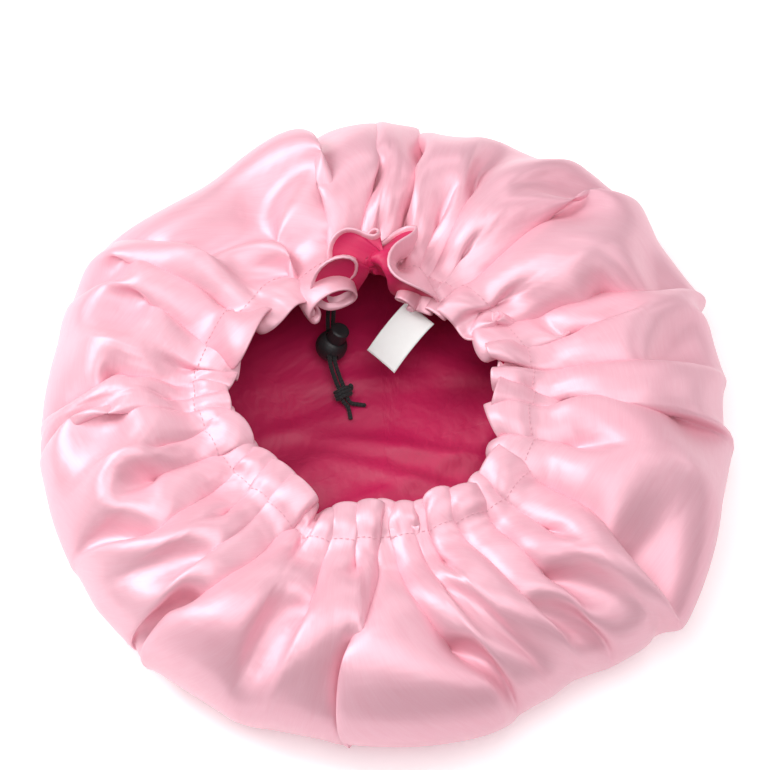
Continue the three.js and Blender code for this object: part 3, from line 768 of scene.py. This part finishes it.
def flat_radii(gathers):
    """How far from the middle of its cut circle each row of the cloth was."""
    out = lengths(np.diff(gathers.base, axis=0)).mean(axis=1)
    under = float(lengths(gathers.base[-1]).mean())
    return under + np.append(np.cumsum(out[::-1])[::-1], 0.0)


# How the satin turns under at the mouth's edge: past the edge, below it, and further out on the cut circle.
TURN_UNDER = table("past below further", [
    (-3.6, 1.7, 6.5), (-1.4, 1.8, 4.3), (0.1, 1.5, 2.8), (0.5, 0.95, 1.8), (0.4, 0.35, 0.8),
])


def make_satin(gathers, points, material):
    facing = surface_facing(points)
    edge = points[0] - points[2]
    edge /= lengths(edge)[..., None]
    turned = [
        points[0] + edge * past - facing[0] * below
        for past, below in zip(TURN_UNDER["past"], TURN_UNDER["below"])
    ]
    radii = flat_radii(gathers)
    shares = np.array([0.93, 0.84, 0.72, 0.58, 0.42, 0.26, 0.12])
    rings = points[-1][None] * shares[:, None, None]
    rings[..., 2] = 0.0
    rows = np.concatenate([turned, points, rings])
    rows[..., 2] = np.maximum(rows[..., 2], 0.0)
    radii = np.concatenate([radii[0] + TURN_UNDER["further"], radii, radii[-1] * shares])
    satin = grid_piece("satin_outer", rows, radii, (0, 0, 0))
    finish_piece(satin, material, "pink_satin", "outer_satin")
    return satin


# Soft waves of the loose lining over the crown, and finer creases between them.
WAVES = table("x y heading length width height", [
    (34, 30, -6, 90, 20, 3.9), (-30, -8, 14, 80, 16, 5), (26, -44, -20, 70, 18, 6.2),
    (-32, 72, 0, 60, 24, 7.6), (14, 4, -10, 64, 6, 3.6), (-52, 18, 18, 40, 6, 2.2),
    (60, 14, 64, 50, 8, 3.1), (24, -18, -16, 54, 6, 3.9), (-6, 50, 4, 50, 6, 2), (44, 58, -20, 40, 8, 3.1),
    (-60, -30, 50, 40, 8, 3.4), (8, -60, 8, 60, 8, 4.2), (-24, -34, 22, 44, 5, 3.4),
    (36, -2, 30, 36, 5, 2.5),
])
CROWN_SHARES = np.linspace(0.94, 0.02, 47)  # its rows, as shares of the way from the middle
CROWN_LOW = 3.5
CROWN_RISE = 9.0  # at its outer edge, where it turns up into the sides
LINING_GAP = 1.2  # under the lowest folds of the casing
TUNNEL_DEPTH = 2 * CORD_DEPTH  # and under the drawstring
FLAP = (74.0, 80.0, 90.0, 96.0)  # the angles where the turned-up flap starts, is full, and ends
LINING_SMALLER = 3.0  # on the cut circle
HEM_GAP_INSIDE = 1.0  # under the satin at the mouth's edge, inside its turned-under hem
FINE_T, LAST_T = 0.42, 1.02  # the lining has every row up to the first, and every second one up to the last


def floor_height(x, y):
    total = CROWN_LOW + 0 * x
    for k in range(len(WAVES["x"])):
        turn = math.radians(WAVES["heading"][k])
        dx, dy = x - WAVES["x"][k], y - WAVES["y"][k]
        lengthwise = (dx * math.cos(turn) + dy * math.sin(turn)) / WAVES["length"][k]
        crosswise = (dy * math.cos(turn) - dx * math.sin(turn)) / WAVES["width"][k]
        total = total + WAVES["height"][k] * np.exp(-(lengthwise ** 2) - crosswise ** 2)
    return total


def make_lining(gathers, points, facing, material):
    """The lining backs the casing, leaves the satin under the gathers, and lies loose over the crown."""
    t = gathers.t
    out = ((points - gathers.base) * facing).sum(-1)
    floor = casing_floor(gathers, points, facing, passes=10)
    in_tunnel = ease(0.0, 0.1, t) * (1 - ease(0.14, 0.22, t))
    in_flap = ease(*FLAP[:2], gathers.angle) * (1 - ease(*FLAP[2:], gathers.angle))
    pleats = (0.7 + 1.4 * in_flap) * ripples(gathers.radians, t, 96, 0.8, 14) - 1.0 - 2.2 * in_flap
    below = np.minimum(pleats, 0.2) - LINING_GAP - (TUNNEL_DEPTH - LINING_GAP) * in_tunnel
    casing = floor + facing * below[..., None]
    at_edge = (1 - ease(0.02, 0.06, t))[..., None]
    casing = casing * (1 - at_edge) + (points - surface_facing(points) * HEM_GAP_INSIDE) * at_edge
    depth = 6.0 + 22.0 * ease(0.2, 0.4, t) - 8.0 * ease(0.8, 1.0, t)
    hung = gathers.base + facing * (out - depth)[..., None]
    follow = (1 - ease(0.2, 0.36, t))[..., None]
    rows = casing * follow + hung * (1 - follow)
    fine = t[:, 0] < FINE_T
    kept = np.append(np.flatnonzero(fine), np.flatnonzero(~fine & (t[:, 0] <= LAST_T))[1::2])
    rows = rows[kept]
    crown = rows[-1][None] * CROWN_SHARES[:, None, None]
    rise = CROWN_RISE * ease(0.86, 0.96, CROWN_SHARES)
    crown[..., 2] = floor_height(crown[..., 0], crown[..., 1]) + rise[:, None]
    radii = flat_radii(gathers)[kept] - LINING_SMALLER
    radii = np.concatenate([radii, radii[-1] * CROWN_SHARES])
    middle = (0.0, 0.0, float(floor_height(0.0, 0.0)))
    lining = grid_piece("lining_inner", np.concatenate([rows, crown]), radii, middle, flip=True)
    finish_piece(lining, material, "maroon_satin", "lining")
    return lining


# ---- Label and stitches -----------------------------------------------------------------------------

LABEL_LINE = np.array([
    (20, 63.5, 57.5), (15.5, 59, 56), (9.5, 53, 52.5), (3.5, 47, 47.5), (-2, 41.5, 41.5),
])
LABEL_ACROSS = np.array(Vector((15.4, -14.9, -0.6)).normalized())
LABEL_WIDTH = 21.0
LABEL_HALF_THICKNESS = 0.22
LABEL_CURL = 0.9  # how far its woven edges stand up


def make_label(material):
    """A bare woven tape, caught in the casing's seam at its upper end."""
    middles = smooth_path(LABEL_LINE, 30)
    along = np.gradient(middles, axis=0)
    along /= lengths(along)[:, None]
    facing = np.cross(along, LABEL_ACROSS)
    facing *= np.sign(facing[:, 2:3])
    shares = np.linspace(-0.5, 0.5, 15)
    gone = distances(middles)
    curl = LABEL_CURL * (2 * shares) ** 4
    points, flat = [], []
    for face in (LABEL_HALF_THICKNESS, -LABEL_HALF_THICKNESS):
        for k, at in enumerate(middles):
            for share, rise in zip(shares, curl):
                points.append(at + LABEL_ACROSS * LABEL_WIDTH * share + facing[k] * (rise + face))
                flat.append((LABEL_WIDTH * share * MM, gone[k] * MM))
    count, rows = len(shares), len(middles)
    index = np.arange(2 * rows * count).reshape(2, rows, count)
    top, back = index
    rim = np.concatenate([top[0, :-1], top[:-1, -1], top[-1, :0:-1], top[:0:-1, 0]])
    under = rim + rows * count
    faces = []
    for sides in (
        [top[:-1, :-1], top[:-1, 1:], top[1:, 1:], top[1:, :-1]],
        [back[:-1, :-1], back[1:, :-1], back[1:, 1:], back[:-1, 1:]],
        [rim, under, np.roll(under, -1), np.roll(rim, -1)],
    ):
        faces += np.stack(sides, -1).reshape(-1, 4).tolist()
    uvs = np.array(flat)[np.concatenate([np.array(face) for face in faces])]
    label = new_piece("label_tape", points, faces, uvs)
    finish_piece(label, material, "white_tape", "label")
    return label, float(gone[-1]) * MM


STITCH, STITCH_APART, THREAD = 2.3, 0.9, 0.42


def sew_casing(points, material):
    """The line of stitches that closes the casing round the mouth, as one piece."""
    around_mouth = np.append(np.arange(points.shape[1]), 0)
    facing = surface_facing(points)[STITCH_ROW, around_mouth]
    path = points[STITCH_ROW, around_mouth] + facing * 0.1
    gone = distances(path)
    rise = THREAD * np.array([-0.6, 0.25, 0.4, 0.25, -0.6])
    size = THREAD / 2 * np.array([0.6, 1.0, 1.05, 1.0, 0.6])
    sides, rings = 6, len(rise)
    corners, faces = [], []
    for start in np.arange(0, gone[-1] - STITCH, STITCH + STITCH_APART):
        at = start + np.linspace(0, STITCH, rings)
        line, up = between(at, gone, path), between(at, gone, facing)
        side = np.cross(line[-1] - line[0], up)
        side /= lengths(side)[:, None]
        first = len(corners)
        for k in range(rings):
            for turn in np.arange(sides) * 2 * math.pi / sides:
                high = rise[k] + size[k] * math.sin(turn)
                corners.append(line[k] + up[k] * high + side[k] * size[k] * math.cos(turn))
        ring = first + np.arange(rings * sides).reshape(rings, sides)
        beside = np.roll(ring, -1, axis=1)
        faces += np.stack([ring[:-1], ring[1:], beside[1:], beside[:-1]], -1).reshape(-1, 4).tolist()
        faces += [ring[0].tolist(), ring[-1, ::-1].tolist()]
    finish_piece(new_piece("casing_stitches", corners, faces), material, "pink_satin")


# ---- Materials --------------------------------------------------------------------------------------


class Value:
    """A socket of a material's nodes that can be added, multiplied and so on."""

    def __init__(self, look, socket):
        self.look, self.socket = look, socket

    def math(self, operation, other=0.0):
        return self.look.add("ShaderNodeMath", {"operation": operation}, {0: self, 1: other})

    def __add__(self, other):
        return self.math("ADD", other)

    def __sub__(self, other):
        return self.math("SUBTRACT", other)

    def __mul__(self, other):
        return self.math("MULTIPLY", other)

    def __truediv__(self, other):
        return self.math("DIVIDE", other)

    def __pow__(self, other):
        return self.math("POWER", other)

    __radd__ = __add__
    __rmul__ = __mul__

    def sine(self):
        return self.math("SINE")

    def size(self):
        return self.math("ABSOLUTE")

    def at_least(self, other):
        return self.math("MAXIMUM", other)


class Look:
    """A material and the nodes that vary it."""

    def __init__(self, name, **uniform):
        self.material = bpy.data.materials.new(name)
        self.material.use_nodes = True
        self.tree = self.material.node_tree
        self.shader = self.tree.nodes["Principled BSDF"]
        for key, value in uniform.items():
            self.shader.inputs[key.replace("_", " ")].default_value = value

    def put(self, socket, value):
        if isinstance(value, Value):
            self.tree.links.new(value.socket, socket)
        else:
            socket.default_value = value

    def add(self, kind, settings, sockets, output=0):
        node = self.tree.nodes.new(kind)
        for key, value in settings.items():
            setattr(node, key, value)
        for key, value in sockets.items():
            self.put(node.inputs[key], value)
        return Value(self, node.outputs[output])

    def cloth(self):
        """The place on the cut cloth, or along and round a cord, in metres."""
        return self.add("ShaderNodeUVMap", {"uv_map": "cloth"}, {})

    def place(self):
        return self.add("ShaderNodeTexCoord", {}, {}, "Object")

    def scaled(self, vector, by):
        return self.add("ShaderNodeVectorMath", {"operation": "MULTIPLY"}, {0: vector, 1: by})

    def part(self, vector, axis):
        return self.add("ShaderNodeSeparateXYZ", {}, {"Vector": vector}, axis)

    def noise(self, vector, size, detail=2.0, rough=0.5):
        """Soft blotches about that many metres across, from 0 to 1."""
        return self.add("ShaderNodeTexNoise", {}, {
            "Vector": vector, "Scale": 1 / size, "Detail": detail, "Roughness": rough,
        })

    def blend(self, factor, first, second):
        """From the first colour to the second as the factor goes from 0 to 1."""
        return self.add("ShaderNodeMix", {"data_type": "RGBA"}, {0: factor, 6: first, 7: second}, 2)

    def set(self, **varying):
        for key, value in varying.items():
            self.put(self.shader.inputs[key.replace("_", " ")], value)

    def bump(self, height, distance, strength=1.0):
        self.set(Normal=self.add("ShaderNodeBump", {}, {
            "Height": height, "Distance": distance, "Strength": strength,
        }))


GATHERED_RADIUS = 0.29  # of the stitches on the cut circle, in metres


def satin_look(name, light, deep, roughness, metal, sheen, crumple, pleat):
    """Shiny smooth cloth: long fine threads one way, faint slubs, and small soft dents from handling."""
    look = Look(
        name, Metallic=metal, Specular_IOR_Level=0.6, Anisotropic=0.5, Sheen_Weight=sheen,
        Sheen_Roughness=0.45, Sheen_Tint=(1.0, 0.9, 0.92, 1.0),
    )
    cloth = look.cloth()
    threads = look.noise(look.scaled(cloth, (1.0, 0.05, 1.0)), 0.0005, 1.0)
    slubs = look.noise(look.scaled(cloth, (1.0, 0.08, 1.0)), 0.0022, 2.0)
    dents = look.noise(cloth, 0.013, 2.0, 0.45)
    broad = look.noise(cloth, 0.06, 1.0)
    # Pleats that run straight out from the middle of the cut circle, and are strongest near its edge.
    away = look.add("ShaderNodeVectorMath", {"operation": "LENGTH"}, {0: cloth}, 1)
    way = look.add("ShaderNodeVectorMath", {"operation": "NORMALIZE"}, {0: cloth})
    lengthwise = look.add("ShaderNodeCombineXYZ", {}, {"Z": 0.16 * away})
    outwards = look.add("ShaderNodeVectorMath", {"operation": "ADD"}, {
        0: look.scaled(way, (GATHERED_RADIUS,) * 3), 1: lengthwise,
    })
    pleats = look.noise(outwards, 0.014, 1.0, 0.4)
    gathered = (away / GATHERED_RADIUS) ** 5.0
    tone = 0.25 * slubs + 0.45 * broad + 0.3 * threads
    look.set(
        Base_Color=look.blend(tone, deep, light),
        Roughness=(roughness - 0.06) + 0.08 * slubs + 0.05 * dents,
    )
    look.bump(crumple * dents + pleat * pleats * gathered + 0.05 * slubs + 0.02 * threads, 0.001)
    return look.material


BRAID_PITCH = 0.0019
TAPE_THREAD = 0.0007


def cord_look(name):
    """A braided cord: two sets of strands that cross as they wind round it."""
    look = Look(name, Specular_IOR_Level=0.35, Sheen_Weight=0.15)
    cloth = look.cloth()
    along = look.part(cloth, "X") * (math.pi / BRAID_PITCH)
    turn = look.part(cloth, "Y") * (4 * math.pi)
    braid = (along + turn).sine().size().at_least((along - turn).sine().size())
    fuzz = look.noise(look.place(), 0.0007, 2.0)
    look.set(
        Base_Color=look.blend(0.7 * braid + 0.3 * fuzz, (0.004, 0.004, 0.005, 1.0), (0.03, 0.03, 0.032, 1.0)),
        Roughness=0.55 + 0.25 * fuzz,
    )
    look.bump(braid + 0.3 * fuzz, 0.00025)
    return look.material


def plastic_look(name):
    """Matt moulded plastic with a fine even grain, rubbed a little smoother in places."""
    look = Look(name, Specular_IOR_Level=0.5)
    place = look.place()
    grain = look.noise(place, 0.0006, 2.0)
    worn = look.noise(place, 0.006, 2.0)
    look.set(
        Base_Color=look.blend(worn, (0.016, 0.016, 0.018, 1.0), (0.03, 0.03, 0.033, 1.0)),
        Roughness=0.36 + 0.16 * worn + 0.08 * grain,
    )
    look.bump(grain, 0.0001)
    return look.material


def tape_look(name):
    """Close woven white tape, with its threads both ways."""
    look = Look(name, Specular_IOR_Level=0.4, Sheen_Weight=0.1)
    cloth = look.cloth()
    warp, weft = ((look.part(cloth, axis) * (2 * math.pi / TAPE_THREAD)).sine() for axis in ("X", "Y"))
    uneven = look.noise(cloth, 0.004, 2.0)
    weave = warp * weft
    tone = 0.3 + 0.25 * weave + 0.4 * uneven
    look.set(
        Base_Color=look.blend(tone, (0.88, 0.87, 0.86, 1.0), (0.97, 0.97, 0.96, 1.0)),
        Roughness=0.6 + 0.1 * uneven,
    )
    look.bump(weave + uneven, 0.0001)
    return look.material


def thread_look(name, colour, dark):
    look = Look(name, Specular_IOR_Level=0.5, Sheen_Weight=0.2)
    twist = look.noise(look.place(), 0.0006, 1.0)
    look.set(Base_Color=look.blend(twist, dark, colour), Roughness=0.4 + 0.15 * twist)
    look.bump(twist, 0.0001)
    return look.material


# ---- Floor, light and camera ------------------------------------------------------------------------

FLOOR_HALF = 4.0
FLOOR_GLOW = 0.3
WORLD_GLOW = 0.13
LIGHTS = [
    ("top", (0.05, -0.45, 1.4), (0, 0, 0.03), (1.1, 1.1), 13.2),
    ("left", (-0.95, 0.3, 0.95), (0, 0, 0.05), (0.7, 0.8), 14.2),
    ("right", (1.1, 0.3, 0.7), (0, 0, 0.05), (0.3, 0.8), 3.0),
    ("back", (0.2, 1.1, 0.9), (0, 0, 0.05), (0.8, 0.3), 2.5),
]


def make_camera():
    """Looks down on the mouth from the near side."""
    target = Vector((0.0, 0.0381, 0.022))
    elevation = math.radians(59)
    distance = 5.0
    view_width = 0.43
    back = Vector((0.0, -math.cos(elevation), math.sin(elevation)))
    data = bpy.data.cameras.new("camera")
    data.sensor_width = 36.0
    data.lens = data.sensor_width * distance / view_width
    camera = bpy.data.objects.new("camera", data)
    camera.location = target + back * distance
    camera.rotation_euler = (-back).to_track_quat("-Z", "Y").to_euler()
    bpy.context.scene.collection.objects.link(camera)
    bpy.context.scene.camera = camera


def area_light(name, place, target, size, power):
    data = bpy.data.lights.new(name, "AREA")
    data.shape = "RECTANGLE"
    data.size, data.size_y = size
    data.energy = power
    light = bpy.data.objects.new(name, data)
    light.location = place
    light.rotation_euler = (Vector(target) - Vector(place)).to_track_quat("-Z", "Y").to_euler()
    bpy.context.scene.collection.objects.link(light)


def make_studio():
    """A pale floor under soft light from above, brightest from the far left."""
    mesh = bpy.data.meshes.new("floor")
    corners = [(FLOOR_HALF * x, FLOOR_HALF * y, 0) for x, y in ((-1, -1), (1, -1), (1, 1), (-1, 1))]
    mesh.from_pydata(corners, [], [(0, 1, 2, 3)])
    floor = bpy.data.objects.new("floor", mesh)
    floor.location.z = -0.0004
    bpy.context.scene.collection.objects.link(floor)
    look = Look(
        "floor_paper", Roughness=0.85, Specular_IOR_Level=0.2, Emission_Color=(1.0, 1.0, 1.0, 1.0),
        Emission_Strength=FLOOR_GLOW,
    )
    paper = look.noise(look.place(), 0.4, 1.0)
    look.set(Base_Color=look.blend(paper, (0.93, 0.93, 0.93, 1.0), (0.96, 0.96, 0.96, 1.0)))
    mesh.materials.append(look.material)

    world = bpy.data.worlds.new("studio")
    world.use_nodes = True
    background = world.node_tree.nodes["Background"]
    background.inputs["Color"].default_value = (1.0, 1.0, 1.0, 1.0)
    background.inputs["Strength"].default_value = WORLD_GLOW
    bpy.context.scene.world = world
    for light in LIGHTS:
        area_light(*light)
    bpy.context.scene.view_settings.view_transform = "Standard"


# ---- The bonnet -------------------------------------------------------------------------------------

pink = satin_look(
    "pink_satin", light=(0.91, 0.58, 0.66, 1.0), deep=(0.81, 0.335, 0.43, 1.0),
    roughness=0.47, metal=0.25, sheen=0.15, crumple=0.6, pleat=1.6,
)
maroon = satin_look(
    "maroon_satin", light=(0.66, 0.014, 0.11, 1.0), deep=(0.5, 0.01, 0.08, 1.0),
    roughness=0.54, metal=0.0, sheen=0.05, crumple=1.2, pleat=0.0,
)
black_cord = cord_look("black_cord")
black_plastic = plastic_look("black_plastic")
white_tape = tape_look("white_tape")
pink_thread = thread_look("pink_thread", (0.86, 0.5, 0.57, 1.0), (0.62, 0.28, 0.35, 1.0))

make_camera()
knot = make_knot(black_cord)
make_strands(black_cord)
make_studio()

gathers = Gathers(CASING_ROWS, SECTION_ROWS)
points, facing = satin_start(gathers)
points = Cloth(gathers, points, facing).settle(SETTLING_STEPS)
satin = make_satin(gathers, points, pink)
lining = make_lining(gathers, points, facing, maroon)
make_drawstring(gathers, points, facing, black_cord)
sew_casing(points, pink_thread)
label, label_length = make_label(white_tape)
for node in ("lock_barrel", "lock_button"):
    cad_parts[node].data.materials.clear()
    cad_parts[node].data.materials.append(black_plastic)
